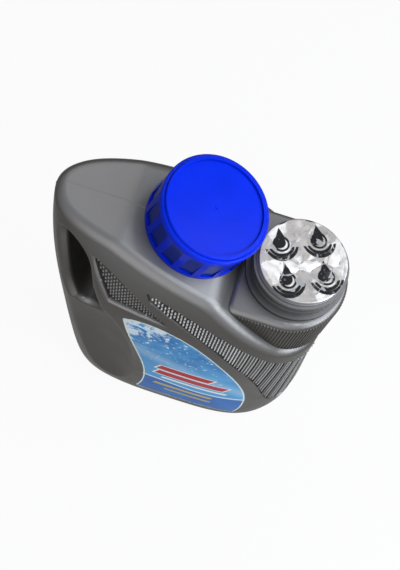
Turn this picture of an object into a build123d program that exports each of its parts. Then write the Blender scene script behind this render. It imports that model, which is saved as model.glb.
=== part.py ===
from build123d import *
import os
from math import copysign, cos, pi, radians, sin, tan

os.makedirs("parts", exist_ok=True)

# Five litre blow-moulded jug: +Z up, label to -Y, handle to -X, origin at the centre of the base.
length = 216.0
depth = 111.0
height = 309.0
half_length = length / 2
half_depth = depth / 2
overrun = 40.0

# Plan sections from the foot to above the deck: height, left, right and depth as shares, squareness.
form_shares = (
    (0.000, 1.035, 0.940, 0.970, 3.1),
    (0.270, 1.042, 1.004, 0.997, 2.9),
    (0.640, 1.016, 0.880, 0.985, 2.7),
    (0.800, 1.000, 0.832, 0.930, 2.6),
    (0.920, 0.982, 0.805, 0.800, 2.4),
    (1.030, 0.935, 0.770, 0.560, 2.2),
)
form_centre = 0.06 * half_length
form_points = 16
foot_fillet = 9.0
deck_fillet = 8.0
deck_rise_share = 0.5

# Top line seen from the front: handle deck, sloping deck, swoosh and the ledge round the nose.
deck_angle = 16.0
deck_break = -0.52 * half_length
deck_end = 0.10 * half_length
swoosh_low = (0.60 * half_length, 0.780 * height)
nose_low = (1.20 * half_length, 0.715 * height)
top_blend = 25.0

# Turret under the neck
neck_x = 0.503 * half_length
turret_x = 0.475 * half_length
plateau_height = 0.916 * height
plateau_left = 0.172 * half_length
turret_radius = 0.695 * half_depth
turret_drop = 0.20 * height
turret_draft = 3.5
pocket_round = 5.0
plateau_fillet = 4.0

# Cap, from its foot radius inwards
cap_radius = 35.2
cap_wall = 4.8
cap_shoulder_taper = 1.4
cap_top_taper = 3.6
cap_height = 31.0
cap_roof = 2.6
cap_foot_band = 3.0
cap_shoulder = 6.5
cap_panels = 16
cap_panel_share = 0.66
cap_panel_depth = 1.5
cap_rim = 2.2
cap_rim_drop = 1.4
cap_fillet = 0.8
gate_radius = 1.1
gate_height = 0.5
cap_y = 0.09 * half_depth
cap_gap = 0.1
cap_neck_gap = 2.4
cap_bore = cap_radius - cap_wall

# Neck, which the cap screws on to
thread_clearance = 0.4
thread_depth = 1.8
lip_step = 0.7
mouth_height = 20.5
lip_height = 3.0
bead_height = 2.4
bead_pitch = 6.0
bead_count = 2
flange_overhang = 2.6
flange_height = 3.2
bead_radius = cap_bore - thread_clearance
neck_radius = bead_radius - thread_depth
lip_radius = neck_radius - lip_step
flange_radius = bead_radius + flange_overhang
foil_thickness = 0.3

# Handle opening, as shares of the half length and the height, and the hand scoops that fade round it
hole_shares = (
    (-0.770, 0.945), (-0.690, 0.925), (-0.640, 0.840), (-0.590, 0.750), (-0.580, 0.690), (-0.640, 0.645),
    (-0.740, 0.632), (-0.815, 0.672), (-0.838, 0.770), (-0.832, 0.890),
)
hole_fillet = 5.0
scoop_half_width = 0.44 * half_length
scoop_end_share = 0.66
scoop_bottom = (-0.62 * half_length, 0.02 * height)
scoop_top = (-0.93 * half_length, 1.03 * height)
scoop_bite = 0.36 * half_depth
scoop_radius = (scoop_half_width**2 + scoop_bite**2) / (2 * scoop_bite)
scoop_fillet = 6.0

# Textured fields sunk between the swoosh, the rim and the label panel, as runs of front-view shares
dot_field_shares = (
    ((-0.625, 0.945), (-0.566, 0.882), (-0.510, 0.826)),
    ((-0.510, 0.826), (-0.300, 0.824), (-0.084, 0.804)),
    ((-0.084, 0.804), (-0.254, 0.852), (-0.400, 0.900), (-0.625, 0.945)),
)
rib_field_shares = (
    ((-0.290, 0.915), (0.050, 0.865), (0.400, 0.785), (0.700, 0.705), (1.200, 0.690)),
    ((1.200, 0.690), (1.200, 0.270)),
    (
        (1.200, 0.270), (0.860, 0.275), (0.715, 0.385), (0.560, 0.545), (0.310, 0.700), (0.030, 0.805),
        (-0.265, 0.885),
    ),
    ((-0.265, 0.885), (-0.290, 0.915)),
)
field_depth = 1.3
field_round = 1.2
rib_hub = 0.37 * half_length
rib_start = 0.54 * half_depth
rib_fan = 180.0
rib_count = 23
rib_width = 1.35
rib_height = 0.8

# Label, its outline in runs of front-view shares
label_shares = (
    (
        (-0.420, 0.762), (-0.180, 0.785), (0.040, 0.752), (0.270, 0.660), (0.500, 0.490), (0.620, 0.330),
        (0.630, 0.092),
    ),
    ((0.630, 0.092), (-0.320, 0.092)),
    ((-0.320, 0.092), (-0.262, 0.210), (-0.255, 0.360), (-0.330, 0.560), (-0.420, 0.762)),
)
label_round = 4.0
label_thickness = 0.35
label_clearance = 0.05

# Foot
foot_ring = 17.0
foot_rise = 2.5

# The origin is under the middle of the whole length.
centre_shift = half_length * (max(row[1] for row in form_shares) - max(row[2] for row in form_shares)) / 2


def plan_points(left, right, deep, power, inset):
    """Points of one rounded plan section, drawn in by the inset."""
    points = []
    for step in range(form_points):
        turn = pi + 2 * pi * step / form_points
        reach = (right if cos(turn) > 0 else left) - inset
        along = copysign(abs(cos(turn)) ** (2 / power), cos(turn))
        across = copysign(abs(sin(turn)) ** (2 / power), sin(turn))
        points.append((form_centre + reach * along, (deep - inset) * across))
    return points


def jug_form(inset=0.0):
    """The moulded outer form, drawn in all round by the inset."""
    with BuildPart() as form:
        for rise, left, right, deep, power in form_shares:
            with BuildSketch(Plane.XY.offset(rise * height)):
                with BuildLine():
                    reach = (left * half_length + form_centre, right * half_length - form_centre)
                    Spline(*plan_points(*reach, deep * half_depth, power, inset), periodic=True)
                make_face()
        loft()
    return form.part


def placed(shares):
    """Front-view points from shares of the half length and the height."""
    return [(along * half_length, rise * height) for along, rise in shares]


def front_prism(runs, rounding, both=True):
    """An outline of smooth runs in the front view, carried through the depth."""
    with BuildPart() as prism:
        with BuildSketch(Plane.XZ):
            with BuildLine():
                for run in runs:
                    Spline(*placed(run)) if len(run) > 2 else Line(*placed(run))
            make_face()
            fillet(vertices(), radius=rounding)
        extrude(amount=half_depth + overrun, both=both)
    return prism.part


deck_fall = tan(radians(deck_angle))
deck_end_height = height - (deck_end - deck_break) * deck_fall

# Turret that carries the neck, round at the nose and square towards the handle
with BuildPart() as turret:
    with BuildSketch(Plane.XY.offset(plateau_height)) as pocket_plan:
        with Locations((turret_x, 0)):
            Circle(turret_radius)
            Rectangle(turret_x - plateau_left, 2 * turret_radius, align=(Align.MAX, Align.CENTER))
        with Locations((plateau_left, 0)):
            Rectangle(length, depth, align=(Align.MIN, Align.CENTER), mode=Mode.INTERSECT)
        fillet(vertices().group_by(Axis.X)[0], radius=pocket_round)
    extrude(amount=-turret_drop, taper=-turret_draft)
    fillet(turret.faces().sort_by(Axis.Z)[-1].edges(), radius=plateau_fillet)

# Main ribs of the swoosh, thin blades fanned round the nose and cut to the form
with BuildPart() as swoosh_ribs:
    with Locations((rib_hub, 0)):
        with PolarLocations(rib_start, rib_count, -rib_fan / 2, rib_fan, endpoint=True):
            Box(length, rib_width, height, align=(Align.MIN, Align.CENTER, Align.MIN))
    add(jug_form(field_depth - rib_height), mode=Mode.INTERSECT)

with BuildPart() as jug_body:
    add(jug_form())
    fillet(jug_body.edges().group_by(Axis.Z)[0], radius=foot_fillet)
    with BuildSketch(Plane.XZ):
        with BuildLine():
            top_line = FilletPolyline(
                (-half_length - overrun, height), (deck_break, height), (deck_end, deck_end_height),
                swoosh_low, nose_low, radius=top_blend,
            )
            low_corners = ((half_length + overrun, -overrun), (-half_length - overrun, -overrun))
            Polyline(top_line @ 1, *low_corners, top_line @ 0)
        make_face()
    extrude(amount=half_depth + overrun, both=True, mode=Mode.INTERSECT)
    deck_faces = jug_body.faces().filter_by(lambda face: face.normal_at().Z > deck_rise_share)
    rim_edges = [edge for edge in deck_faces.edges() if edge.geom_type != GeomType.LINE]
    fillet(rim_edges, radius=deck_fillet)
    # Pocket in the deck, filled below by the turret
    extrude(pocket_plan.sketch, amount=overrun, mode=Mode.SUBTRACT)
    add(turret.part)
    # Hand scoops on both sides, cut by a leaning barrel, and the handle opening through them
    for side in (-1, 1):
        scoop_y = side * (half_depth - scoop_bite + scoop_radius)
        low = Vector(scoop_bottom[0], scoop_y, scoop_bottom[1])
        rise = Vector(scoop_top[0], scoop_y, scoop_top[1]) - low
        reach = rise.length / 2
        inward = Vector(0, -side, 0)
        with BuildSketch(Plane(origin=low + rise / 2, x_dir=inward, z_dir=rise.cross(inward))):
            with BuildLine():
                ends = scoop_radius * scoop_end_share
                barrel = ThreePointArc((ends, -reach), (scoop_radius, 0), (ends, reach))
                Polyline(barrel @ 1, (0, reach), (0, -reach), barrel @ 0)
            make_face()
        revolve(axis=Axis(low, rise), mode=Mode.SUBTRACT)
        fillet(jug_body.edges(Select.LAST), radius=scoop_fillet)
    with BuildSketch(Plane.XZ):
        with BuildLine():
            Spline(*placed(hole_shares), periodic=True)
        make_face()
    extrude(amount=half_depth + overrun, both=True, mode=Mode.SUBTRACT)
    fillet(jug_body.edges(Select.LAST).filter_by(GeomType.LINE, reverse=True), radius=hole_fillet)
    # Textured fields and the seat of the label, sunk to a drawn-in copy of the form
    for shares, standing in ((dot_field_shares, None), (rib_field_shares, swoosh_ribs)):
        with BuildPart(mode=Mode.PRIVATE) as field:
            add(front_prism(shares, field_round))
            add(jug_form(field_depth), mode=Mode.SUBTRACT)
            if standing:
                add(standing.part, mode=Mode.SUBTRACT)
        add(field.part, mode=Mode.SUBTRACT)
    with BuildPart(mode=Mode.PRIVATE) as seat:
        add(front_prism(label_shares, label_round, both=False))
        add(jug_form(label_thickness + label_clearance), mode=Mode.SUBTRACT)
    add(seat.part, mode=Mode.SUBTRACT)
    # Foot ring round a raised base
    with BuildPart(mode=Mode.PRIVATE) as push_up:
        rise, left, right, deep, power = form_shares[0]
        reach = (left * half_length + form_centre, right * half_length - form_centre)
        for lift, inset in ((0, foot_ring), (foot_rise, 2 * foot_ring)):
            with BuildSketch(Plane.XY.offset(lift)):
                with BuildLine():
                    Spline(*plan_points(*reach, deep * half_depth, power, inset), periodic=True)
                make_face()
        loft()
    add(push_up.part, mode=Mode.SUBTRACT)
    # Neck
    with BuildSketch(Plane.XZ):
        with Locations((neck_x, plateau_height - flange_height)):
            Rectangle(neck_radius, mouth_height + flange_height - lip_height, align=(Align.MIN, Align.MIN))
            Rectangle(lip_radius, mouth_height + flange_height, align=(Align.MIN, Align.MIN))
            Rectangle(flange_radius, 2 * flange_height, align=(Align.MIN, Align.MIN))
        for bead in range(bead_count):
            with Locations((neck_x, plateau_height + flange_height + bead_pitch * (bead + 1))):
                Rectangle(bead_radius, bead_height, align=(Align.MIN, Align.CENTER))
    revolve(axis=Axis((neck_x, 0, 0), (0, 0, 1)))

with BuildPart() as front_label:
    add(front_prism(label_shares, label_round, both=False))
    add(jug_form(), mode=Mode.INTERSECT)
    add(jug_form(label_thickness), mode=Mode.SUBTRACT)

mouth_plane = Plane.XY.offset(plateau_height + mouth_height)
with BuildPart() as foil_seal:
    with BuildSketch(mouth_plane):
        with Locations((neck_x, 0)):
            Circle(lip_radius)
    extrude(amount=foil_thickness)

# The cap, drawn on the sloping deck where it lies
lean = radians(deck_angle)
deck_normal = Vector(sin(lean), 0, cos(lean))
cap_x = neck_x - bead_radius - cap_radius - cap_neck_gap
cap_seat = Vector(cap_x, cap_y, height - (cap_x - deck_break) * deck_fall) + deck_normal * cap_gap
cap_plane = Plane(origin=cap_seat, x_dir=(cos(lean), 0, -sin(lean)), z_dir=deck_normal)
cap_shoulder_radius = cap_radius - cap_shoulder_taper
cap_top_radius = cap_radius - cap_top_taper
with BuildPart() as screw_cap:
    with BuildSketch(cap_plane):
        Circle(cap_radius)
    with BuildSketch(cap_plane.offset(cap_height - cap_shoulder)):
        Circle(cap_shoulder_radius)
    loft()
    with BuildSketch(cap_plane.offset(cap_height - cap_shoulder)):
        Circle(cap_shoulder_radius)
    with BuildSketch(cap_plane.offset(cap_height)):
        Circle(cap_top_radius)
    loft()
    fillet(screw_cap.edges().sort_by(Axis(cap_seat, deck_normal))[-1], radius=cap_fillet)
    # Grip panels sunk between the ribs
    panel_height = cap_height - cap_shoulder - cap_foot_band
    panel_width = 2 * pi * cap_radius / cap_panels * cap_panel_share
    with Locations(cap_plane.offset(cap_foot_band + panel_height / 2)):
        with PolarLocations(cap_radius, cap_panels):
            Box(2 * cap_panel_depth, panel_width, panel_height, mode=Mode.SUBTRACT)
    with BuildSketch(cap_plane.offset(cap_height)):
        Circle(cap_top_radius - cap_rim)
    extrude(amount=-cap_rim_drop, mode=Mode.SUBTRACT)
    with BuildSketch(cap_plane.offset(cap_height - cap_rim_drop)):
        Circle(gate_radius)
    extrude(amount=gate_height)
    with BuildSketch(cap_plane):
        Circle(cap_bore)
    extrude(amount=cap_height - cap_rim_drop - cap_roof, mode=Mode.SUBTRACT)

for name, piece in (
    ("jug_body", jug_body), ("front_label", front_label), ("foil_seal", foil_seal), ("screw_cap", screw_cap),
):
    centred = Pos(centre_shift, 0, 0) * piece.part
    centred.label = name
    export_step(centred, f"parts/{name}.step")
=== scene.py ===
from math import cos, pi, radians, sin

import bmesh
import bpy
from bpy.props import FloatProperty, FloatVectorProperty, IntProperty, PointerProperty
from mathutils import Matrix, Vector, noise
from mathutils.bvhtree import BVHTree


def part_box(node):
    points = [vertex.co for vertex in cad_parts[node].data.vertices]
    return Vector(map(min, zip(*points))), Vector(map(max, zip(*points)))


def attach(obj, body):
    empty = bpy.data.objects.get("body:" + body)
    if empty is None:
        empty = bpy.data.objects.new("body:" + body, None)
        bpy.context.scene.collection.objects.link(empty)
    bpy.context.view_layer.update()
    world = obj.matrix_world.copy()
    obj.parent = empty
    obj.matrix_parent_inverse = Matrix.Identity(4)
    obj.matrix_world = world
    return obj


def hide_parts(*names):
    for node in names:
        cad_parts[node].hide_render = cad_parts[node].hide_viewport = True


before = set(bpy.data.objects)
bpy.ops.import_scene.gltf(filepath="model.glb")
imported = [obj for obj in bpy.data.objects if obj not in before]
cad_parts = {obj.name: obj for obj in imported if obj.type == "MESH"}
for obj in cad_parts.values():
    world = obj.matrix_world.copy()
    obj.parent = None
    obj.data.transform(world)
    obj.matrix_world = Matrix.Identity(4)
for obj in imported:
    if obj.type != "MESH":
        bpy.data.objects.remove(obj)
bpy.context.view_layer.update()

bl_info = {
    "name": "Antifreeze jug",
    "version": (1, 0, 0),
    "blender": (4, 5, 0),
    "location": "View3D > Sidebar > Jug",
    "description": "Dresses the moulded jug with its textures, label, foil, cap finish and stage",
    "category": "Object",
}

MM = 0.001
HALF_LENGTH = 108.0 * MM
HEIGHT = 309.0 * MM
NECK_X = (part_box("foil_seal")[0].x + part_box("foil_seal")[1].x) / 2
SHIFT = NECK_X - 0.503 * HALF_LENGTH
TURRET_X = SHIFT + 0.475 * HALF_LENGTH
RIB_HUB = SHIFT + 0.37 * HALF_LENGTH
PLATEAU_Z = 0.916 * HEIGHT
# The solid carries every third rib of the swoosh, in steps round the nose
RIB_STEPS = 3
FAN_STEPS = 22
CAP_LEAN = radians(16.0)
CAP_LOW, CAP_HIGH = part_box("screw_cap")
CAP_RADIUS = (CAP_HIGH.y - CAP_LOW.y) / 2
CAP_SEAT = CAP_LOW + Vector((CAP_RADIUS * cos(CAP_LEAN), CAP_RADIUS, CAP_RADIUS * sin(CAP_LEAN)))
CAP_PANELS = 16
FOIL_RADIUS = (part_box("foil_seal")[1].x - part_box("foil_seal")[0].x) / 2
# Any whole number but 0, which would seed the crinkles from the clock
CRINKLE_SEED = 7
FOIL_PITCH = 24.0 * MM
FOIL_TURN = radians(-24.0)

# Outlines of the sunk fields in the front view, as shares of the half length and the height
DOT_FIELD = (
    ((-0.625, 0.945), (-0.566, 0.882), (-0.510, 0.826)),
    ((-0.510, 0.826), (-0.300, 0.824), (-0.084, 0.804)),
    ((-0.084, 0.804), (-0.254, 0.852), (-0.400, 0.900), (-0.625, 0.945)),
)
RIB_FIELD = (
    ((-0.290, 0.915), (0.050, 0.865), (0.400, 0.785), (0.700, 0.705), (1.200, 0.690)),
    ((1.200, 0.690), (1.200, 0.270)),
    (
        (1.200, 0.270), (0.860, 0.275), (0.715, 0.385), (0.560, 0.545), (0.310, 0.700), (0.030, 0.805),
        (-0.265, 0.885),
    ),
)


class JugSizes(bpy.types.PropertyGroup):
    """Sizes of the moulded textures and the crinkled foil"""

    rib_height: FloatProperty(
        name="Rib height", description="How far the ribs stand out of the sunk field",
        default=0.8 * MM, unit="LENGTH",
    )
    stud_pitch: FloatProperty(
        name="Stud pitch", description="Spacing of the studs at the start of the swoosh",
        default=2.3 * MM, unit="LENGTH",
    )
    stud_height: FloatProperty(
        name="Stud height", description="How far the studs stand out of the sunk field",
        default=0.9 * MM, unit="LENGTH",
    )
    turret_height: FloatProperty(
        name="Turret rib height", description="How far the ribs stand out of the turret",
        default=0.55 * MM, unit="LENGTH",
    )
    turret_pitch: FloatProperty(
        name="Turret pitch", description="Spacing of the fine ribs on the turret",
        default=2.1 * MM, unit="LENGTH",
    )
    dot_pitch: FloatProperty(
        name="Dot pitch", description="Spacing of the fine dots in the wedge panel",
        default=2.0 * MM, unit="LENGTH",
    )
    dot_height: FloatProperty(
        name="Dot height", description="How far the fine dots stand out",
        default=0.5 * MM, unit="LENGTH",
    )
    rim_width: FloatProperty(
        name="Rim width", description="Width of the rolled rim round the wedge panel",
        default=5.5 * MM, unit="LENGTH",
    )
    rim_height: FloatProperty(
        name="Rim height", description="How far the rolled rim stands out",
        default=1.8 * MM, unit="LENGTH",
    )
    seam_width: FloatProperty(
        name="Seam width", description="Width of the mould parting line",
        default=0.7 * MM, unit="LENGTH",
    )
    thread_turns: FloatProperty(
        name="Thread turns", description="Turns of the thread round the neck", default=1.0,
    )
    cap_roll: FloatProperty(
        name="Cap roll", description="Radius of the rolled edge under the cap's top",
        default=1.5 * MM, unit="LENGTH",
    )
    crinkle: FloatProperty(
        name="Crinkle", description="Depth of the foil's crinkles", default=0.9 * MM, unit="LENGTH",
    )
    foil_rings: IntProperty(
        name="Foil rings", description="Rings of faces across the foil", default=56,
    )


class JugColours(bpy.types.PropertyGroup):
    """Colours of the plastics and the print, and the painted shade and highlights"""

    body: FloatVectorProperty(
        name="Body", description="Pearl grey of the jug", subtype="COLOR", size=4,
        default=(0.19, 0.191, 0.196, 1.0),
    )
    body_slant_shade: FloatVectorProperty(
        name="Body at a slant", description="Warm dark tone of the jug seen at a slant",
        subtype="COLOR", size=4,
        default=(0.085, 0.082, 0.077, 1.0),
    )
    ground: FloatVectorProperty(
        name="Sunk ground", description="Dark tone between the studs", subtype="COLOR", size=4,
        default=(0.022, 0.021, 0.020, 1.0),
    )
    stud_highlight: FloatVectorProperty(
        name="Studs", description="Bright rubbed tone of the studs", subtype="COLOR", size=4,
        default=(0.58, 0.59, 0.60, 1.0),
    )
    lip_highlight: FloatVectorProperty(
        name="Lip", description="Pale lit edge of the neck", subtype="COLOR", size=4,
        default=(0.34, 0.35, 0.37, 1.0),
    )
    dot: FloatVectorProperty(
        name="Dots", description="Grey of the fine dots", subtype="COLOR", size=4,
        default=(0.24, 0.24, 0.245, 1.0),
    )
    cap_slant_shade: FloatVectorProperty(
        name="Cap at a slant", description="Deep blue of the cap seen at a slant", subtype="COLOR", size=4,
        default=(0.0, 0.012, 0.36, 1.0),
    )
    cap_panel_shade: FloatVectorProperty(
        name="Cap panels", description="Dark blue of the grip panels", subtype="COLOR", size=4,
        default=(0.002, 0.013, 0.14, 1.0),
    )
    cap: FloatVectorProperty(
        name="Cap", description="Royal blue of the cap", subtype="COLOR", size=4,
        default=(0.0, 0.022, 0.66, 1.0),
    )
    sky: FloatVectorProperty(
        name="Sky", description="Mid blue of the label's upper field", subtype="COLOR", size=4,
        default=(0.022, 0.16, 0.42, 1.0),
    )
    band: FloatVectorProperty(
        name="Band", description="Deep blue of the label's lower field", subtype="COLOR", size=4,
        default=(0.022, 0.10, 0.36, 1.0),
    )
    border: FloatVectorProperty(
        name="Border", description="Pale edge of the label", subtype="COLOR", size=4,
        default=(0.62, 0.66, 0.46, 1.0),
    )


def sizes():
    """The sizes that a user can change."""
    return bpy.context.scene.jug_sizes


def colours():
    """The colours that a user can change."""
    return bpy.context.scene.jug_colours


# Surface tools

trees = {}


def surface_tree(node):
    """A search tree over one CAD node's triangles."""
    if node not in trees:
        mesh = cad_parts[node].data
        trees[node] = BVHTree.FromPolygons(
            [v.co.copy() for v in mesh.vertices], [tuple(p.vertices) for p in mesh.polygons]
        )
    return trees[node]


def cast(origin, direction, node="jug_body"):
    """First point and normal that a ray meets on a CAD node, or None."""
    place, normal, _, _ = surface_tree(node).ray_cast(Vector(origin), Vector(direction).normalized())
    return None if place is None else (place, normal)


def outline_points(runs, steps=10):
    """Front-view points along an outline of smooth runs."""
    points = []
    for run in runs:
        knots = [Vector((SHIFT + x * HALF_LENGTH, z * HEIGHT)) for x, z in run]
        for i in range(len(knots) - 1):
            before = knots[max(i - 1, 0)]
            after = knots[min(i + 2, len(knots) - 1)]
            a, b = knots[i], knots[i + 1]
            for k in range(steps):
                t = k / steps
                m0 = (b - before) * 0.5
                m1 = (after - a) * 0.5
                points.append(
                    a * (2 * t**3 - 3 * t**2 + 1) + m0 * (t**3 - 2 * t**2 + t)
                    + b * (3 * t**2 - 2 * t**3) + m1 * (t**3 - t**2)
                )
    return points


def depth_inside(x, z, outline):
    """Distance from a point to the outline, negative outside it."""
    inside = False
    nearest = 1.0
    here = Vector((x, z))
    for i, a in enumerate(outline):
        b = outline[i - 1]
        if (a.y > z) != (b.y > z) and x < (b.x - a.x) * (z - a.y) / (b.y - a.y) + a.x:
            inside = not inside
        run = b - a
        share = max(0.0, min(1.0, (here - a).dot(run) / max(run.length_squared, 1e-12)))
        nearest = min(nearest, (a + run * share - here).length)
    return nearest if inside else -nearest


def new_piece(name, bm, material):
    """Makes a mesh object of a bmesh, riding on the jug."""
    mesh = bpy.data.meshes.new(name)
    bm.normal_update()
    bm.to_mesh(mesh)
    bm.free()
    piece = bpy.data.objects.new(name, mesh)
    bpy.context.scene.collection.objects.link(piece)
    mesh.materials.append(material)
    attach(piece, "root")
    return piece


def raised_sheet(name, columns, rows, raised, surface, height, draft, material=None, sink=0.08 * MM):
    """A grid laid on a surface, with the raised cells drawn up and narrowed by the draft."""
    bm = bmesh.new()
    bmesh.ops.create_grid(bm, x_segments=columns, y_segments=rows, size=0.5)
    bmesh.ops.scale(bm, vec=(columns, rows, 1.0), verts=bm.verts)
    bmesh.ops.translate(bm, vec=(columns / 2, rows / 2, 0.0), verts=bm.verts)
    middles = {face: face.calc_center_median() for face in bm.faces}
    flat = list(middles)
    tops = [face for face in flat if raised(int(middles[face].x), int(middles[face].y))]
    if not tops:
        raise RuntimeError("Nothing is raised on %s" % name)
    made = bmesh.ops.extrude_face_region(bm, geom=tops)["geom"]
    upper = [v for v in made if isinstance(v, bmesh.types.BMVert)]
    lids = {f: f.calc_center_median() for f in made if isinstance(f, bmesh.types.BMFace)}
    bmesh.ops.delete(bm, geom=[f for f in flat if f.is_valid], context="FACES")
    moved = {}
    for vert in upper:
        near = [lids[f] for f in vert.link_faces if f in lids]
        middle = sum(near, Vector()) / len(near)
        hit = surface(*(middle + (vert.co - middle) * draft).xy)
        moved[vert] = hit and hit[0] + hit[1] * height
    for vert in bm.verts:
        if vert not in moved:
            hit = surface(*vert.co.xy)
            moved[vert] = hit and hit[0] - hit[1] * sink
    for vert, place in moved.items():
        if place:
            vert.co = place
    bmesh.ops.delete(bm, geom=[v for v, place in moved.items() if not place], context="VERTS")
    bmesh.ops.recalc_face_normals(bm, faces=bm.faces)
    return new_piece(name, bm, material or body_plastic())


def bead(name, runs, width, height, side):
    """A rolled rim along the outside of an outline's open run, tapered at its ends."""
    path = outline_points(runs)
    bm = bmesh.new()
    across, along = 10, 4 * (len(path) - 1)
    bmesh.ops.create_grid(bm, x_segments=across, y_segments=along, size=0.5)
    for vert in bm.verts:
        t, share = vert.co.x + 0.5, vert.co.y + 0.5
        place = share * (len(path) - 1)
        i = min(int(place), len(path) - 2)
        spot = path[i].lerp(path[i + 1], place - i)
        run = path[min(i + 4, len(path) - 1)].lerp(path[min(i + 5, len(path) - 1)], place - i)
        run = (run - path[max(i - 3, 0)].lerp(path[max(i - 2, 0)], place - i)).normalized()
        spot = spot + Vector((run.y, -run.x)) * width * t
        hit = cast((spot.x, side * 0.2, spot.y), (0, -side, 0))
        if hit is None:
            raise RuntimeError("The rim of %s leaves the jug" % name)
        rise = height * sin(pi * t ** 0.7) * min(1.0, 6 * share, 4 * (1 - share))
        vert.co = hit[0] + hit[1] * (rise - 0.06 * MM)
    bmesh.ops.recalc_face_normals(bm, faces=bm.faces)
    if sum(f.normal.y for f in bm.faces) * side < 0:
        bmesh.ops.reverse_faces(bm, faces=bm.faces)
    piece = new_piece(name, bm, body_plastic())
    for face in piece.data.polygons:
        face.use_smooth = True


# Shader tools

def add_node(tree, kind, **values):
    """Adds a shader node; values set sockets by name or properties."""
    made = tree.nodes.new(kind)
    for key, value in values.items():
        if hasattr(made, key):
            setattr(made, key, value)
        else:
            made.inputs[key.replace("_", " ")].default_value = value
    return made


def wire(tree, source, target):
    """Links one socket to another."""
    tree.links.new(source, target)


def maths(tree, operation, first, second=0.0, clamp=False):
    """A math node from two sockets or numbers."""
    made = tree.nodes.new("ShaderNodeMath")
    made.operation = operation
    made.use_clamp = clamp
    for i, value in enumerate((first, second)):
        if isinstance(value, (int, float)):
            made.inputs[i].default_value = value
        else:
            tree.links.new(value, made.inputs[i])
    return made.outputs[0]


def blend(tree, mask, first, second):
    """Mixes two colours by a mask."""
    made = tree.nodes.new("ShaderNodeMix")
    made.data_type = "RGBA"
    for socket, value in ((made.inputs[0], mask), (made.inputs[6], first), (made.inputs[7], second)):
        if hasattr(value, "is_output"):
            tree.links.new(value, socket)
        else:
            socket.default_value = value
    return made.outputs[2]


def ramp(tree, value, low, high, low_out=0.0, high_out=1.0):
    """Maps a value between two limits, clamped."""
    made = tree.nodes.new("ShaderNodeMapRange")
    made.interpolation_type = "SMOOTHSTEP"
    for i, number in enumerate((low, high, low_out, high_out)):
        made.inputs[i + 1].default_value = number
    tree.links.new(value, made.inputs[0])
    return made.outputs[0]


def grain_group():
    """Moulded grain: a fine height and a slow patch mask from a coordinate."""
    name = "moulded_grain"
    if name in bpy.data.node_groups:
        return bpy.data.node_groups[name]
    group = bpy.data.node_groups.new(name, "ShaderNodeTree")
    for label, way, kind in (
        ("Vector", "INPUT", "NodeSocketVector"), ("Fine Scale", "INPUT", "NodeSocketFloat"),
        ("Patch Scale", "INPUT", "NodeSocketFloat"), ("Height", "OUTPUT", "NodeSocketFloat"),
        ("Patch", "OUTPUT", "NodeSocketFloat"),
    ):
        group.interface.new_socket(name=label, in_out=way, socket_type=kind)
    entry = group.nodes.new("NodeGroupInput")
    leave = group.nodes.new("NodeGroupOutput")
    fine = add_node(group, "ShaderNodeTexNoise", Detail=3.0, Roughness=0.6)
    wire(group, entry.outputs["Vector"], fine.inputs["Vector"])
    wire(group, entry.outputs["Fine Scale"], fine.inputs["Scale"])
    patch = add_node(group, "ShaderNodeTexNoise", Detail=4.0, Roughness=0.55)
    wire(group, entry.outputs["Vector"], patch.inputs["Vector"])
    wire(group, entry.outputs["Patch Scale"], patch.inputs["Scale"])
    wire(group, fine.outputs["Fac"], leave.inputs["Height"])
    wire(group, patch.outputs["Fac"], leave.inputs["Patch"])
    return group


def plastic(name, colour, rough, metallic, coat, fine, patch, bump, spread):
    """A moulded plastic with grain, patchy gloss and a faint colour drift."""
    if name in bpy.data.materials:
        return bpy.data.materials[name]
    material = bpy.data.materials.new(name)
    material.use_nodes = True
    tree = material.node_tree
    shader = tree.nodes["Principled BSDF"]
    place = add_node(tree, "ShaderNodeTexCoord")
    grain = tree.nodes.new("ShaderNodeGroup")
    grain.node_tree = grain_group()
    grain.inputs["Fine Scale"].default_value = fine
    grain.inputs["Patch Scale"].default_value = patch
    wire(tree, place.outputs["Object"], grain.inputs["Vector"])
    drift = ramp(tree, grain.outputs["Patch"], 0.3, 0.7)
    dark = tuple(c * (1 - spread) for c in colour[:3]) + (1.0,)
    light = tuple(min(1.0, c * (1 + spread)) for c in colour[:3]) + (1.0,)
    wire(tree, blend(tree, drift, dark, light), shader.inputs["Base Color"])
    gloss = ramp(tree, grain.outputs["Patch"], 0.25, 0.75, rough - 0.04, rough + 0.05)
    wire(tree, gloss, shader.inputs["Roughness"])
    lift = add_node(tree, "ShaderNodeBump", Strength=bump, Distance=0.0002)
    wire(tree, grain.outputs["Height"], lift.inputs["Height"])
    wire(tree, lift.outputs["Normal"], shader.inputs["Normal"])
    shader.inputs["Metallic"].default_value = metallic
    shader.inputs["Coat Weight"].default_value = coat
    shader.inputs["Coat Roughness"].default_value = 0.25
    return material


def object_axes(tree):
    """Object coordinates as three sockets."""
    place = add_node(tree, "ShaderNodeTexCoord")
    axes = add_node(tree, "ShaderNodeSeparateXYZ")
    wire(tree, place.outputs["Object"], axes.inputs["Vector"])
    return axes.outputs["X"], axes.outputs["Y"], axes.outputs["Z"]


def highlighted(tree, x):
    """A mask of the painted highlight on the studs and ribs, falling from the studs towards the nose."""
    return ramp(tree, x, RIB_HUB - 34 * MM, RIB_HUB + 48 * MM, 1.0, 0.0)


def edge_height(tree, x, points):
    """Height of an outline's edge above each place along the jug."""
    first, last = points[0].x, points[-1].x
    share = add_node(tree, "ShaderNodeMapRange")
    share.inputs["From Min"].default_value = first
    share.inputs["From Max"].default_value = last
    wire(tree, x, share.inputs["Value"])
    curve = add_node(tree, "ShaderNodeFloatCurve")
    knots = curve.mapping.curves[0].points
    knots[0].location = (0.0, points[0].y / HEIGHT)
    knots[1].location = (1.0, points[-1].y / HEIGHT)
    for point in points[3:-3:3]:
        knots.new((point.x - first) / (last - first), point.y / HEIGHT)
    curve.mapping.update()
    wire(tree, share.outputs["Result"], curve.inputs["Value"])
    return maths(tree, "MULTIPLY", curve.outputs["Value"], HEIGHT)


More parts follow.
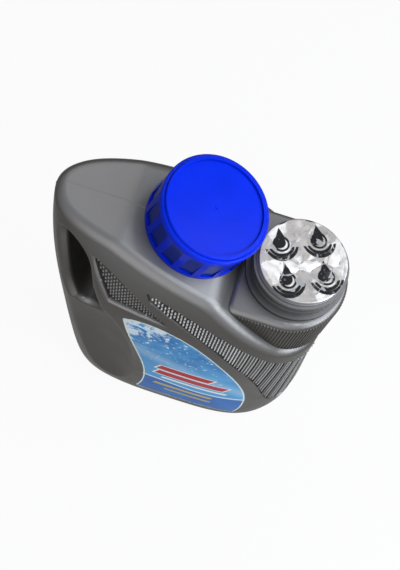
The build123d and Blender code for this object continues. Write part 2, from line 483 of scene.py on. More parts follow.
def field_mask(tree, x, z, lower, upper):
    """A mask of the sunk field between two runs of outline."""
    floor = edge_height(tree, x, sorted(outline_points(lower), key=lambda p: p.x))
    ceiling = edge_height(tree, x, sorted(outline_points(upper), key=lambda p: p.x))
    over = ramp(tree, maths(tree, "SUBTRACT", z, floor), 0.4 * MM, 1.4 * MM)
    under = ramp(tree, maths(tree, "SUBTRACT", ceiling, z), 0.4 * MM, 1.4 * MM)
    return maths(tree, "MULTIPLY", over, under)


def body_plastic():
    """Pearl grey with painted shade at a slant and in the sunk fields, and painted highlights on the neck's
    lip and the solid's ribs.
    """
    name = "pearl_grey_plastic"
    if name in bpy.data.materials:
        return bpy.data.materials[name]
    material = plastic(name, colours().body, 0.34, 0.60, 0.0, 2600.0, 18.0, 0.10, 0.05)
    tree = material.node_tree
    shader = tree.nodes["Principled BSDF"]
    drift = shader.inputs["Base Color"].links[0].from_socket
    shader.inputs["Specular IOR Level"].default_value = 0.2
    shader.inputs["Specular Tint"].default_value = (0.45, 0.44, 0.43, 1.0)
    # Painted shade: a warm dark tone laid on where the surface is seen at a slant
    slant = add_node(tree, "ShaderNodeLayerWeight", Blend=0.5)
    x, y, z = object_axes(tree)
    shade = ramp(tree, slant.outputs["Facing"], 0.10, 0.60)
    # The neck gets little of the painted slant shade, so that it reads as lit all round
    beside = ramp(tree, x, NECK_X - 31 * MM, NECK_X - 30 * MM)
    neck = maths(tree, "MULTIPLY", beside, ramp(tree, z, PLATEAU_Z + 1 * MM, PLATEAU_Z + 3 * MM, 0.0, 0.7))
    shade = maths(tree, "MULTIPLY", shade, maths(tree, "SUBTRACT", 1.0, neck))
    pearl = blend(tree, shade, drift, colours().body_slant_shade)
    # Painted highlight: a pale ring round the neck's lip under the foil
    lip_highlight = maths(tree, "MULTIPLY", beside, ramp(tree, z, PLATEAU_Z + 16.5 * MM, PLATEAU_Z + 18 * MM))
    pearl = blend(tree, lip_highlight, pearl, colours().lip_highlight)
    fade = highlighted(tree, x)
    # The solid's own ribs stand at even turns round the nose
    away = maths(tree, "SUBTRACT", x, RIB_HUB)
    steps = maths(tree, "MULTIPLY", maths(tree, "ARCTAN2", y, away), FAN_STEPS / pi)
    off = maths(tree, "ABSOLUTE", maths(tree, "SUBTRACT", maths(tree, "FRACT", steps), 0.5))
    rib = maths(tree, "MULTIPLY", ramp(tree, off, 0.42, 0.44), ramp(tree, away, -1.0 * MM, 0.0))
    # Painted shade darkens the floors of the sunk fields between the ribs and studs, fading out towards the
    # nose and the handle end; the wedge panels get 0.6 of it
    swoosh = field_mask(tree, x, z, RIB_FIELD[2:], RIB_FIELD[:1])
    wedge = field_mask(tree, x, z, DOT_FIELD[:2], DOT_FIELD[2:])
    dark = maths(tree, "MULTIPLY", swoosh, maths(tree, "SUBTRACT", 1.0, rib))
    opening = ramp(tree, x, SHIFT - 0.27 * HALF_LENGTH, SHIFT - 0.17 * HALF_LENGTH, 0.0, 0.9)
    dark = maths(tree, "MULTIPLY", dark, maths(tree, "MULTIPLY", fade, opening))
    dark = maths(tree, "MAXIMUM", dark, maths(tree, "MULTIPLY", wedge, 0.6))
    tone = blend(tree, dark, pearl, colours().ground)
    # Painted highlight on the solid's own ribs in the swoosh, fading towards the nose
    bright = maths(tree, "MULTIPLY", maths(tree, "MULTIPLY", swoosh, rib), fade)
    wire(tree, blend(tree, bright, tone, colours().stud_highlight), shader.inputs["Base Color"])
    return material


def stud_plastic():
    """Studs and ribs with a painted highlight that falls to the body's grey towards the nose."""
    name = "bright_stud_plastic"
    if name in bpy.data.materials:
        return bpy.data.materials[name]
    material = plastic(name, colours().stud_highlight, 0.32, 0.20, 0.0, 2600.0, 18.0, 0.05, 0.08)
    tree = material.node_tree
    shader = tree.nodes["Principled BSDF"]
    drift = shader.inputs["Base Color"].links[0].from_socket
    fade = highlighted(tree, object_axes(tree)[0])
    wire(tree, blend(tree, fade, colours().body, drift), shader.inputs["Base Color"])
    return material


def dot_plastic():
    """Grey plastic of the fine dots, with a painted highlight that makes them lighter than the body."""
    return plastic("dot_plastic", colours().dot, 0.34, 0.25, 0.0, 2600.0, 18.0, 0.05, 0.08)


def cap_plastic():
    """Royal blue with painted shade where it is seen at a slant and in the grip panels."""
    material = plastic("royal_blue_plastic", colours().cap, 0.22, 0.0, 0.0, 1400.0, 40.0, 0.05, 0.06)
    tree = material.node_tree
    shader = tree.nodes["Principled BSDF"]
    drift = shader.inputs["Base Color"].links[0].from_socket
    shader.inputs["Specular IOR Level"].default_value = 0.08
    # Painted shade: a deep blue laid on where the cap is seen at a slant, such as its skirt
    slant = add_node(tree, "ShaderNodeLayerWeight", Blend=0.5)
    shade = ramp(tree, slant.outputs["Facing"], 0.2, 0.7, 0.0, 0.75)
    tone = blend(tree, shade, drift, colours().cap_slant_shade)
    # Painted shade darkens the recessed grip panels between their ribs
    place = add_node(tree, "ShaderNodeTexCoord")
    upright = add_node(
        tree, "ShaderNodeVectorRotate", rotation_type="Y_AXIS", Center=CAP_SEAT, Angle=-CAP_LEAN
    )
    wire(tree, place.outputs["Object"], upright.inputs["Vector"])
    centred = add_node(tree, "ShaderNodeMapping", Location=-CAP_SEAT)
    wire(tree, upright.outputs["Vector"], centred.inputs["Vector"])
    axes = add_node(tree, "ShaderNodeSeparateXYZ")
    wire(tree, centred.outputs["Vector"], axes.inputs["Vector"])
    turn = maths(tree, "ARCTAN2", axes.outputs["Y"], axes.outputs["X"])
    step = maths(tree, "FRACT", maths(tree, "ADD", maths(tree, "MULTIPLY", turn, CAP_PANELS / (2 * pi)), 0.5))
    off = maths(tree, "ABSOLUTE", maths(tree, "SUBTRACT", step, 0.5))
    low = ramp(tree, axes.outputs["Z"], 3.4 * MM, 4.4 * MM)
    high = ramp(tree, axes.outputs["Z"], 23.4 * MM, 24.4 * MM, 1.0, 0.0)
    between = ramp(tree, off, 0.29, 0.33, 0.85, 0.0)
    panel = maths(tree, "MULTIPLY", between, maths(tree, "MULTIPLY", low, high))
    wire(tree, blend(tree, panel, tone, colours().cap_panel_shade), shader.inputs["Base Color"])
    return material


class JUG_OT_body(bpy.types.Operator):
    """Gives the moulded jug its pearl grey plastic"""

    bl_idname = "jug.body"
    bl_label = "Jug body"

    def execute(self, context):
        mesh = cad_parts["jug_body"].data
        mesh.materials.clear()
        mesh.materials.append(body_plastic())
        return {"FINISHED"}


class JUG_OT_seam(bpy.types.Operator):
    """Lays the mould parting line over the top, the handle end and the nose"""

    bl_idname = "jug.seam"
    bl_label = "Parting line"

    def execute(self, context):
        half = sizes().seam_width / 2
        hub = Vector((-0.060, 0.0, 0.190))
        start, stop, steps = radians(52), radians(262), 260

        def surface(u, v):
            turn = start + (stop - start) * v / steps
            away = Vector((cos(turn), 0.0, sin(turn)))
            side = Vector((0.0, (u - 0.5) * 2 * half, 0.0))
            hit = cast(hub + away * 0.5 + side, -away)
            return hit if hit and hit[0].z > 3 * MM else None

        raised_sheet("parting_line", 1, steps, lambda i, j: True, surface, 0.25 * MM, 0.35)
        return {"FINISHED"}


def staggered(i, j):
    """True on the raised cells of a staggered grid of studs."""
    return i % 2 == 0 and (j + i // 2) % 2 == 0


class JUG_OT_rim(bpy.types.Operator):
    """Rolls the rim round the lower sides of the wedge panels"""

    bl_idname = "jug.rim"
    bl_label = "Wedge rims"

    def execute(self, context):
        for side, end in ((-1, "front"), (1, "back")):
            bead(end + "_wedge_rim", DOT_FIELD[:2], sizes().rim_width, sizes().rim_height, side)
        return {"FINISHED"}


class JUG_OT_dots(bpy.types.Operator):
    """Fills the wedge panels with fine dots and the start of the swoosh with larger studs"""

    bl_idname = "jug.dots"
    bl_label = "Dots and studs"

    def execute(self, context):
        fine = (sizes().dot_pitch, sizes().dot_height, 1.0)
        large = (sizes().stud_pitch, sizes().stud_height, RIB_HUB)
        for name, runs, (pitch, height, stop), finish in (
            ("dots", DOT_FIELD, fine, dot_plastic), ("studs", RIB_FIELD, large, stud_plastic),
        ):
            outline = outline_points(runs)
            wide, tall = pitch / 2, pitch * 0.95
            right = min(max(p.x for p in outline), stop)
            columns = 2 * int((right - min(p.x for p in outline)) / pitch)
            left = right - (columns + 0.5) * wide
            low = min(p.y for p in outline if p.x < stop)
            rows = int((max(p.y for p in outline) - low) / tall)

            def raised(i, j):
                spot = (left + (i + 0.5) * wide, low + (j + 0.5) * tall)
                joined = i % 2 == 0 and spot[0] > stop - 9 * MM
                return (joined or staggered(i, j)) and depth_inside(*spot, outline) > 1.0 * MM

            for side, end in ((-1, "front"), (1, "back")):

                def surface(u, v):
                    return cast((left + u * wide, side * 0.2, low + v * tall), (0, -side, 0))

                raised_sheet(end + "_" + name, columns, rows, raised, surface, height, 0.7, finish())
        return {"FINISHED"}


def fan_ray(u, flat, turn, hub, pitch):
    """A level ray towards the jug: along the front, round the nose and back along the rear."""
    if u <= flat + 0.5:
        return Vector((hub - (flat + 0.5 - u) * pitch, -0.3, 0.0)), Vector((0, 1, 0))
    if u >= flat + turn + 0.5:
        return Vector((hub - (u - flat - turn - 0.5) * pitch, 0.3, 0.0)), Vector((0, -1, 0))
    angle = pi * (u - flat - 0.5) / turn - pi / 2
    away = Vector((cos(angle), sin(angle), 0.0))
    return Vector((hub, 0.0, 0.0)) + away * 0.3, -away


class JUG_OT_ribs(bpy.types.Operator):
    """Fills the swoosh with ribs round the nose, between those of the solid"""

    bl_idname = "jug.ribs"
    bl_label = "Swoosh ribs"

    def execute(self, context):
        step = sizes().stud_pitch * 0.95
        outline = outline_points(RIB_FIELD)
        low, high = 0.080, 0.286
        turn = 2 * RIB_STEPS * FAN_STEPS

        def surface(u, v):
            start, way = fan_ray(u, 0, turn, RIB_HUB, 0.0)
            return cast(start + Vector((0, 0, low + v * step)), way)

        def raised(i, j):
            if i % 2 or i // 2 % RIB_STEPS == 0:
                return False
            hit = surface(i + 0.5, j + 0.5)
            return hit is not None and depth_inside(hit[0].x, hit[0].z, outline) > 0.9 * MM

        rows = int((high - low) / step)
        raised_sheet("swoosh_ribs", turn + 1, rows, raised, surface, sizes().rib_height, 0.5, stud_plastic())
        return {"FINISHED"}


class JUG_OT_turret(bpy.types.Operator):
    """Ribs the wall of the turret between the ledge and the plateau"""

    bl_idname = "jug.turret"
    bl_label = "Turret ribs"

    def execute(self, context):
        pitch = sizes().turret_pitch / 2
        top = PLATEAU_Z - 4.6 * MM
        flat = 2 * int((TURRET_X - SHIFT - 22 * MM) / pitch / 2)
        turn = 2 * int(pi * 0.0385 / pitch / 2)
        rows = 10

        def span(u):
            start, way = fan_ray(u, flat, turn, TURRET_X, pitch)
            wall = cast(start + Vector((0, 0, top)), way)[0]
            foot = wall - way * 2.5 * MM
            return start, way, cast((foot.x, foot.y, 0.4), (0, 0, -1))[0].z + 1.0 * MM

        def surface(u, v):
            start, way, low = span(u)
            low = min(low, top - 0.1 * MM)
            return cast(start + Vector((0, 0, low + (top - low) * v / rows)), way)

        def raised(i, j):
            return i % 2 == 0 and max(span(i)[2], span(i + 1)[2]) < top - 2.0 * MM

        raised_sheet("turret_ribs", 2 * flat + turn + 1, rows, raised, surface, sizes().turret_height, 0.5)
        return {"FINISHED"}


class JUG_OT_thread(bpy.types.Operator):
    """Winds the thread round the neck"""

    bl_idname = "jug.thread"
    bl_label = "Neck thread"

    def execute(self, context):
        low = PLATEAU_Z + 9.2 * MM
        rise, turns, steps = 6.0 * MM, sizes().thread_turns, 96
        bm = bmesh.new()
        bmesh.ops.create_grid(bm, x_segments=1, y_segments=1, size=0.5)
        for vert in bm.verts:
            out = vert.co.x > 0
            tall = (0.55 if out else 1.1) * MM
            vert.co = Vector(((29.6 if out else 28.0) * MM, 0.0, tall if vert.co.y > 0 else -tall))
        bmesh.ops.spin(
            bm, geom=bm.verts[:] + bm.edges[:] + bm.faces[:], axis=(0, 0, 1), angle=2 * pi * turns,
            steps=steps, dvec=(0, 0, rise * turns / steps),
        )
        bmesh.ops.translate(bm, vec=(NECK_X, 0, low), verts=bm.verts)
        bmesh.ops.recalc_face_normals(bm, faces=bm.faces)
        new_piece("neck_thread", bm, body_plastic())
        return {"FINISHED"}


def foil_finish():
    """Crinkled foil with dark printed drops over ripples, and painted facet shading and crease highlights in
    its silver.
    """
    material = bpy.data.materials.new("printed_foil")
    material.use_nodes = True
    tree = material.node_tree
    shader = tree.nodes["Principled BSDF"]
    place = add_node(tree, "ShaderNodeTexCoord")
    centred = add_node(tree, "ShaderNodeMapping", Location=(-NECK_X, 0.0, 0.0))
    wire(tree, place.outputs["Object"], centred.inputs["Vector"])
    turned = add_node(tree, "ShaderNodeMapping", Rotation=(0.0, 0.0, FOIL_TURN))
    wire(tree, centred.outputs["Vector"], turned.inputs["Vector"])
    axes = add_node(tree, "ShaderNodeSeparateXYZ")
    wire(tree, turned.outputs["Vector"], axes.inputs["Vector"])
    up = maths(tree, "DIVIDE", axes.outputs["Y"], FOIL_PITCH)
    across = maths(tree, "DIVIDE", axes.outputs["X"], FOIL_PITCH)
    u = maths(tree, "SUBTRACT", maths(tree, "FRACT", across), 0.5)
    v = maths(tree, "SUBTRACT", maths(tree, "FRACT", up), 0.5)

    def far_from(cx, cy):
        dx = maths(tree, "SUBTRACT", u, cx)
        dy = maths(tree, "SUBTRACT", v, cy)
        return maths(
            tree, "SQRT", maths(tree, "ADD", maths(tree, "MULTIPLY", dx, dx), maths(tree, "MULTIPLY", dy, dy))
        )

    def disc(cx, cy, radius):
        return ramp(tree, far_from(cx, cy), radius - 0.012, radius + 0.012, 1.0, 0.0)

    # A drop is a disc under a narrowing tip, with a bright crescent left in it
    tip = maths(tree, "MULTIPLY", maths(tree, "SUBTRACT", 0.46, v), 0.46)
    tip = maths(tree, "SUBTRACT", tip, maths(tree, "ABSOLUTE", u))
    tip = maths(tree, "MULTIPLY", ramp(tree, tip, -0.01, 0.015), ramp(tree, v, 0.03, 0.06))
    drop = maths(tree, "MAXIMUM", disc(0.0, 0.0, 0.225), tip)
    shine = maths(tree, "SUBTRACT", disc(0.01, -0.01, 0.155), disc(-0.035, 0.035, 0.16), clamp=True)
    drop = maths(tree, "SUBTRACT", drop, shine, clamp=True)
    # Two ripples run under each drop
    ripples = maths(tree, "SUBTRACT", disc(0.0, -0.03, 0.345), disc(0.0, 0.025, 0.30), clamp=True)
    outer = maths(tree, "SUBTRACT", disc(0.0, -0.03, 0.445), disc(0.0, 0.035, 0.40), clamp=True)
    below = ramp(tree, v, -0.13, -0.10, 1.0, 0.0)
    ripples = maths(tree, "MULTIPLY", maths(tree, "MAXIMUM", ripples, outer), below)
    mark = maths(tree, "MAXIMUM", drop, ripples)
    scuff = add_node(tree, "ShaderNodeTexNoise", Scale=420.0, Detail=4.0)
    wire(tree, place.outputs["Object"], scuff.inputs["Vector"])
    mark = maths(tree, "MULTIPLY", mark, ramp(tree, scuff.outputs["Fac"], 0.3, 0.42, 0.75, 1.0))
    cloud = add_node(tree, "ShaderNodeTexNoise", Scale=130.0, Detail=3.0)
    wire(tree, place.outputs["Object"], cloud.inputs["Vector"])
    # Painted shade and highlight: the silver runs from dull to bright by the painted facet shading and a
    # random cloud
    dull, bright = (0.44, 0.425, 0.42, 1), (0.84, 0.83, 0.83, 1)
    facet_shading = add_node(tree, "ShaderNodeAttribute", attribute_name="facet_shading")
    tone = maths(tree, "ADD", maths(tree, "MULTIPLY", facet_shading.outputs["Fac"], 0.75), cloud.outputs["Fac"])
    silver = blend(tree, ramp(tree, tone, 0.45, 1.15), dull, bright)
    wire(tree, blend(tree, mark, silver, (0.012, 0.012, 0.014, 1)), shader.inputs["Base Color"])
    wire(tree, maths(tree, "SUBTRACT", 0.75, maths(tree, "MULTIPLY", mark, 0.7)), shader.inputs["Metallic"])
    wire(tree, ramp(tree, cloud.outputs["Fac"], 0.3, 0.7, 0.26, 0.38), shader.inputs["Roughness"])
    shader.inputs["Specular IOR Level"].default_value = 0.15
    return material


class JUG_OT_foil(bpy.types.Operator):
    """Lays the crinkled foil over the mouth"""

    bl_idname = "jug.foil"
    bl_label = "Foil seal"

    def execute(self, context):
        low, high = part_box("foil_seal")
        rings = sizes().foil_rings
        bm = bmesh.new()
        last = bm.verts.new((0.0, 0.0, high.z))
        line = [last]
        for k in range(1, rings + 1):
            line.append(bm.verts.new((FOIL_RADIUS * k / rings, 0.0, high.z)))
        edge = bm.verts.new((FOIL_RADIUS, 0.0, low.z))
        line.append(edge)
        edges = [bm.edges.new(pair) for pair in zip(line, line[1:])]
        bmesh.ops.spin(
            bm, geom=line + edges, cent=(0, 0, 0), axis=(0, 0, 1), angle=2 * pi, steps=160, use_merge=True
        )
        bmesh.ops.remove_doubles(bm, verts=bm.verts, dist=1e-6)
        bmesh.ops.recalc_face_normals(bm, faces=bm.faces)
        depth = sizes().crinkle
        noise.seed_set(CRINKLE_SEED)
        # Painted facet shading: each crinkle cell gets its own brightness, and the creases are painted
        # lighter
        tone = bm.verts.layers.float.new("facet_shading")
        for vert in bm.verts:
            radius = (vert.co.x ** 2 + vert.co.y ** 2) ** 0.5
            spot = Vector((vert.co.x, vert.co.y, 0.0)) * 95.0
            near, cells = noise.voronoi(spot + noise.noise_vector(spot * 0.7) * 0.35)
            crease = near[1] - near[0]
            fine = noise.noise(spot * 2.6)
            vert[tone] = 0.65 * noise.cell(cells[0] * 7.3) + 0.35 * min(1.0, crease * 1.6)
            if vert.co.z < high.z - 1e-5:
                continue
            rim = 1.0 - max(0.0, min(1.0, (radius - 0.0225) / 0.0025))
            press = max(0.0, 1 - abs(radius - 0.0252) / 0.0007) * 0.15 * MM
            vert.co.z += (crease * 0.8 + fine * 0.18 - 0.35) * depth * rim - press
        bmesh.ops.translate(bm, vec=(NECK_X, 0, 0), verts=bm.verts)
        piece = new_piece("crinkled_foil", bm, foil_finish())
        for face in piece.data.polygons:
            face.use_smooth = True
        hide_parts("foil_seal")
        return {"FINISHED"}


def label_film():
    """Printed film: a frosty sky over a deep band, with plain bars of colour."""
    material = bpy.data.materials.new("printed_label")
    material.use_nodes = True
    tree = material.node_tree
    shader = tree.nodes["Principled BSDF"]
    place = add_node(tree, "ShaderNodeTexCoord")
    centred = add_node(tree, "ShaderNodeMapping", Location=(-SHIFT, 0.0, 0.0))
    wire(tree, place.outputs["Object"], centred.inputs["Vector"])
    axes = add_node(tree, "ShaderNodeSeparateXYZ")
    wire(tree, centred.outputs["Vector"], axes.inputs["Vector"])
    x, z = axes.outputs["X"], axes.outputs["Z"]

    def texture(kind, output, **values):
        made = add_node(tree, kind, **values)
        wire(tree, centred.outputs["Vector"], made.inputs["Vector"])
        return made.outputs[output]

    cloud = texture("ShaderNodeTexNoise", "Fac", Scale=30.0, Detail=7.0, Roughness=0.64)
    streak = texture("ShaderNodeTexNoise", "Fac", Scale=75.0, Detail=8.0, Roughness=0.72, Distortion=0.8)
    fleck = texture("ShaderNodeTexVoronoi", "Distance", Scale=230.0)
    sky = blend(tree, ramp(tree, z, 0.118, 0.215), (0.065, 0.28, 0.56, 1), colours().sky)
    sky = blend(tree, ramp(tree, cloud, 0.44, 0.66, 0.0, 0.7), sky, (0.10, 0.36, 0.66, 1))
    slope = maths(tree, "ADD", z, maths(tree, "MULTIPLY", x, 0.62))
    haze = maths(tree, "ABSOLUTE", maths(tree, "SUBTRACT", slope, 0.158))
    sky = blend(tree, ramp(tree, haze, 0.0, 0.024, 0.35, 0.0), sky, (0.42, 0.62, 0.78, 1))
    # Frost gathers towards the upper left edge
    edge = maths(tree, "SUBTRACT", z, maths(tree, "MULTIPLY", x, 1.25))
    gather = ramp(tree, edge, 0.19, 0.29)
    frost = maths(tree, "ADD", streak, maths(tree, "MULTIPLY", gather, 0.17))
    sky = blend(tree, ramp(tree, frost, 0.60, 0.68, 0.0, 0.85), sky, (0.66, 0.76, 0.84, 1))
    spots = maths(tree, "MULTIPLY", ramp(tree, fleck, 0.14, 0.30, 1.0, 0.0), ramp(tree, streak, 0.47, 0.55))
    sky = blend(tree, maths(tree, "MULTIPLY", spots, ramp(tree, z, 0.14, 0.18)), sky, (0.74, 0.82, 0.88, 1))
    swell = maths(tree, "MULTIPLY", maths(tree, "SINE", maths(tree, "MULTIPLY", x, 58.0)), 0.0035)
    wave = maths(tree, "ADD", z, swell)
    deep = blend(tree, ramp(tree, cloud, 0.35, 0.7), colours().band, (0.045, 0.17, 0.46, 1))
    art = blend(tree, ramp(tree, wave, 0.091, 0.094, 1.0, 0.0), sky, (0.52, 0.70, 0.82, 1))
    art = blend(tree, ramp(tree, wave, 0.087, 0.090, 1.0, 0.0), art, deep)

    def bar(cx, cz, wide, tall):
        dz = maths(tree, "SUBTRACT", z, cz)
        dx = maths(tree, "SUBTRACT", maths(tree, "SUBTRACT", x, cx), maths(tree, "MULTIPLY", dz, 0.3))
        side = ramp(tree, maths(tree, "ABSOLUTE", dx), wide - 0.0004, wide + 0.0004, 1.0, 0.0)
        level = ramp(tree, maths(tree, "ABSOLUTE", dz), tall - 0.0004, tall + 0.0004, 1.0, 0.0)
        return maths(tree, "MULTIPLY", side, level)

    white, red, gold = (0.70, 0.74, 0.76, 1), (0.36, 0.018, 0.03, 1), (0.42, 0.36, 0.13, 1)
    for cx, cz, wide, tall, colour in (
        (0.009, 0.140, 0.0245, 0.0092, white), (0.009, 0.140, 0.0230, 0.0072, red),
        (0.016, 0.121, 0.0325, 0.0092, white), (0.016, 0.121, 0.0310, 0.0072, red),
        (0.020, 0.104, 0.0300, 0.0028, white),
        (0.012, 0.074, 0.0280, 0.0036, gold), (0.018, 0.058, 0.0230, 0.0026, gold),
    ):
        art = blend(tree, bar(cx, cz, wide, tall), art, colour)
    wire(tree, art, shader.inputs["Base Color"])
    wire(tree, ramp(tree, cloud, 0.3, 0.7, 0.36, 0.46), shader.inputs["Roughness"])
    shader.inputs["Specular IOR Level"].default_value = 0.03
    return material


class JUG_OT_label(bpy.types.Operator):
    """Prints the label and lays its pale border"""

    bl_idname = "jug.label"
    bl_label = "Front label"

    def execute(self, context):
        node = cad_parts["front_label"]
        node.data.materials.clear()
        node.data.materials.append(label_film())
        bm = bmesh.new()
        bm.from_mesh(node.data)
        bmesh.ops.remove_doubles(bm, verts=bm.verts, dist=2e-6)
        bm.normal_update()
        bmesh.ops.delete(bm, geom=[f for f in bm.faces if f.normal.y > -0.6], context="FACES")
        rim = [e for e in bm.edges if e.is_boundary]
        following = {}
        for e in rim:
            loop = e.link_loops[0]
            following[loop.vert] = loop.link_loop_next.vert
        start = next(iter(following))
        ring = [start.co.copy()]
        step = following[start]
        while step is not start:
            ring.append(step.co.copy())
            step = following[step]
        bm.free()
        material = plastic("label_border_ink", colours().border, 0.32, 0.0, 0.2, 900.0, 60.0, 0.02, 0.06)
        bm = bmesh.new()
        edge = [bm.verts.new(p) for p in ring]
        loop = [bm.edges.new((edge[i], edge[(i + 1) % len(edge)])) for i in range(len(edge))]
        made = bmesh.ops.extrude_edge_only(bm, edges=loop)
        inner = [v for v in made["geom"] if isinstance(v, bmesh.types.BMVert)]
        count = len(ring)
        flat = [Vector((p.x, p.z)) for p in ring]
        area = sum(a.x * b.y - b.x * a.y for a, b in zip(flat, flat[1:] + flat[:1]))
        hand = 1.0 if area > 0 else -1.0

        def inward(i):
            run = flat[(i + 2) % count] - flat[i - 2]
            return Vector((-run.y, 0, run.x)).normalized() * hand

        order = {}
        for i, p in enumerate(ring):
            order[tuple(round(c, 7) for c in p)] = i
        for vert in edge:
            i = order[tuple(round(c, 7) for c in vert.co)]
            vert.co = vert.co + inward(i) * 0.5 * MM
        for vert in inner:
            i = order[tuple(round(c, 7) for c in vert.co)]
            vert.co = vert.co + inward(i) * 1.7 * MM
        for vert in bm.verts:
            hit = cast((vert.co.x, -0.2, vert.co.z), (0, 1, 0), "front_label")
            if hit:
                vert.co = hit[0] + hit[1] * 0.06 * MM
        bmesh.ops.recalc_face_normals(bm, faces=bm.faces)
        if sum(f.normal.y for f in bm.faces) > 0:
            bmesh.ops.reverse_faces(bm, faces=bm.faces)
        new_piece("label_border", bm, material)
        return {"FINISHED"}


class JUG_OT_cap(bpy.types.Operator):
    """Gives the screw cap its blue plastic and the rolled edge under its top"""

    bl_idname = "jug.cap"
    bl_label = "Screw cap"

    def execute(self, context):
        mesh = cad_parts["screw_cap"].data
        mesh.materials.clear()
        finish = cap_plastic()
        mesh.materials.append(finish)
        bm = bmesh.new()
        bmesh.ops.create_circle(bm, segments=14, radius=sizes().cap_roll)
        bmesh.ops.rotate(bm, verts=bm.verts, matrix=Matrix.Rotation(pi / 2, 3, "X"))
        bmesh.ops.translate(bm, verts=bm.verts, vec=(CAP_RADIUS - 2.6 * MM, 0.0, 28.0 * MM))
        bmesh.ops.spin(
            bm, geom=bm.verts[:] + bm.edges[:], axis=(0, 0, 1), angle=2 * pi, steps=128, use_merge=True
        )
        bmesh.ops.remove_doubles(bm, verts=bm.verts, dist=1e-6)
        bmesh.ops.recalc_face_normals(bm, faces=bm.faces)
        bmesh.ops.rotate(bm, verts=bm.verts, matrix=Matrix.Rotation(CAP_LEAN, 3, "Y"))
        bmesh.ops.translate(bm, verts=bm.verts, vec=CAP_SEAT)
        roll = new_piece("cap_roll", bm, finish)
        for face in roll.data.polygons:
            face.use_smooth = True
        return {"FINISHED"}


def seen_direct(tree):
    """A mask of the rays that show the background: camera and transmission rays, and glossy rays in part."""
    path = add_node(tree, "ShaderNodeLightPath")
    mirrored = maths(tree, "MULTIPLY", path.outputs["Is Glossy Ray"], 0.55)
    seen = maths(tree, "MAXIMUM", path.outputs["Is Camera Ray"], mirrored)
    return maths(tree, "MAXIMUM", seen, path.outputs["Is Transmission Ray"])


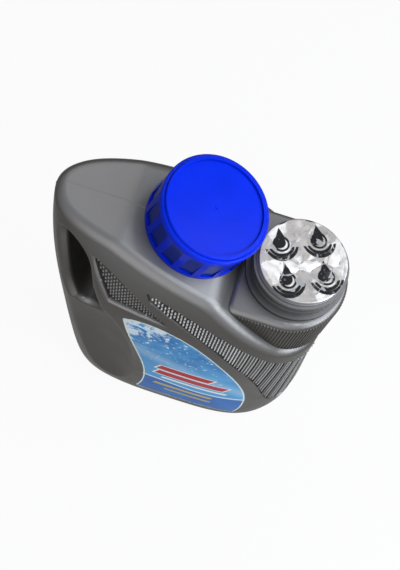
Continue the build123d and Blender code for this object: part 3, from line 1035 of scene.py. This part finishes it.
class JUG_OT_stage(bpy.types.Operator):
    """Sets the floor, the soft lights and the camera"""

    bl_idname = "jug.stage"
    bl_label = "Stage"

    def execute(self, context):
        scene = context.scene
        scene.view_settings.view_transform = "Standard"
        bm = bmesh.new()
        bmesh.ops.create_grid(bm, x_segments=1, y_segments=1, size=6.0)
        mesh = bpy.data.meshes.new("floor")
        bm.to_mesh(mesh)
        bm.free()
        floor = bpy.data.objects.new("floor", mesh)
        scene.collection.objects.link(floor)
        material = bpy.data.materials.new("white_floor")
        material.use_nodes = True
        tree = material.node_tree
        shader = tree.nodes["Principled BSDF"]
        shader.inputs["Base Color"].default_value = (0.60, 0.60, 0.60, 1)
        shader.inputs["Roughness"].default_value = 0.9
        glow = add_node(tree, "ShaderNodeEmission", Color=(1, 1, 1, 1), Strength=1.0)
        seen = seen_direct(tree)
        mix = add_node(tree, "ShaderNodeMixShader")
        wire(tree, maths(tree, "MULTIPLY", seen, 0.93), mix.inputs["Fac"])
        wire(tree, shader.outputs["BSDF"], mix.inputs[1])
        wire(tree, glow.outputs["Emission"], mix.inputs[2])
        wire(tree, mix.outputs["Shader"], tree.nodes["Material Output"].inputs["Surface"])
        mesh.materials.append(material)
        world = bpy.data.worlds.new("studio")
        world.use_nodes = True
        tree = world.node_tree
        soft = tree.nodes["Background"]
        soft.inputs["Color"].default_value = (0.75, 0.77, 0.80, 1)
        soft.inputs["Strength"].default_value = 0.26
        white = add_node(tree, "ShaderNodeBackground", Color=(1, 1, 1, 1), Strength=1.0)
        mix = add_node(tree, "ShaderNodeMixShader")
        wire(tree, seen_direct(tree), mix.inputs["Fac"])
        wire(tree, soft.outputs["Background"], mix.inputs[1])
        wire(tree, white.outputs["Background"], mix.inputs[2])
        wire(tree, mix.outputs["Shader"], tree.nodes["World Output"].inputs["Surface"])
        scene.world = world
        for name, spot, aim, wide, tall, power, tint in (
            ("key", (0.87, 0.03, 1.05), (0.02, 0.0, 0.28), 1.1, 1.1, 15.5, (0.90, 0.95, 1.0)),
            ("top", (-0.30, 0.70, 1.25), (0.0, 0.0, 0.25), 0.9, 0.9, 2.5, (1.0, 0.97, 0.94)),
            ("side", (1.05, -0.50, 0.52), (0.03, 0.0, 0.24), 0.6, 0.6, 6.0, (0.90, 0.95, 1.0)),
            ("fill", (-0.20, -1.10, 0.75), (0.0, 0.0, 0.15), 1.4, 1.4, 6.5, (1.0, 0.96, 0.92)),
        ):
            lamp = bpy.data.lights.new(name, "AREA")
            lamp.shape = "RECTANGLE"
            lamp.size = wide
            lamp.size_y = tall
            lamp.energy = power
            lamp.color = tint
            light = bpy.data.objects.new(name, lamp)
            way = Vector(aim) - Vector(spot)
            light.matrix_world = Matrix.Translation(spot) @ way.to_track_quat("-Z", "Y").to_matrix().to_4x4()
            scene.collection.objects.link(light)
        data = bpy.data.cameras.new("camera")
        data.lens = 599.56 / 570.0 * 36.0
        data.sensor_width = 36.0
        data.clip_start = 0.01
        camera = bpy.data.objects.new("camera", data)
        yaw, pitch, roll = -0.01202, 1.21227, -0.29711
        ahead = Vector((sin(yaw) * cos(pitch), cos(yaw) * cos(pitch), -sin(pitch)))
        right = Vector((cos(yaw), -sin(yaw), 0.0))
        down = ahead.cross(right)
        right_turned = right * cos(roll) + down * sin(roll)
        down_turned = down * cos(roll) - right * sin(roll)
        turn = Matrix((right_turned, -down_turned, -ahead)).transposed().to_4x4()
        camera.matrix_world = Matrix.Translation((SHIFT + 0.000301, -0.15936, 0.63363)) @ turn
        scene.collection.objects.link(camera)
        scene.camera = camera
        return {"FINISHED"}


STEPS = (
    JUG_OT_body, JUG_OT_seam, JUG_OT_rim, JUG_OT_dots, JUG_OT_ribs, JUG_OT_turret, JUG_OT_thread,
    JUG_OT_foil, JUG_OT_label, JUG_OT_cap, JUG_OT_stage,
)


class JUG_PT_panel(bpy.types.Panel):
    """Lists the steps that dress the jug"""

    bl_label = "Jug"
    bl_idname = "JUG_PT_panel"
    bl_space_type = "VIEW_3D"
    bl_region_type = "UI"
    bl_category = "Jug"

    def draw(self, context):
        for group in (context.scene.jug_sizes, context.scene.jug_colours):
            for key in group.__annotations__:
                self.layout.prop(group, key)
        for step in STEPS:
            self.layout.operator(step.bl_idname)


CLASSES = (JugSizes, JugColours) + STEPS + (JUG_PT_panel,)


def register():
    for entry in CLASSES:
        bpy.utils.register_class(entry)
    bpy.types.Scene.jug_sizes = PointerProperty(type=JugSizes)
    bpy.types.Scene.jug_colours = PointerProperty(type=JugColours)


def unregister():
    del bpy.types.Scene.jug_colours
    del bpy.types.Scene.jug_sizes
    for entry in reversed(CLASSES):
        bpy.utils.unregister_class(entry)


def main():
    register()
    for step in STEPS:
        group, name = step.bl_idname.split(".")
        getattr(getattr(bpy.ops, group), name)()


if __name__ == "__main__":
    main()
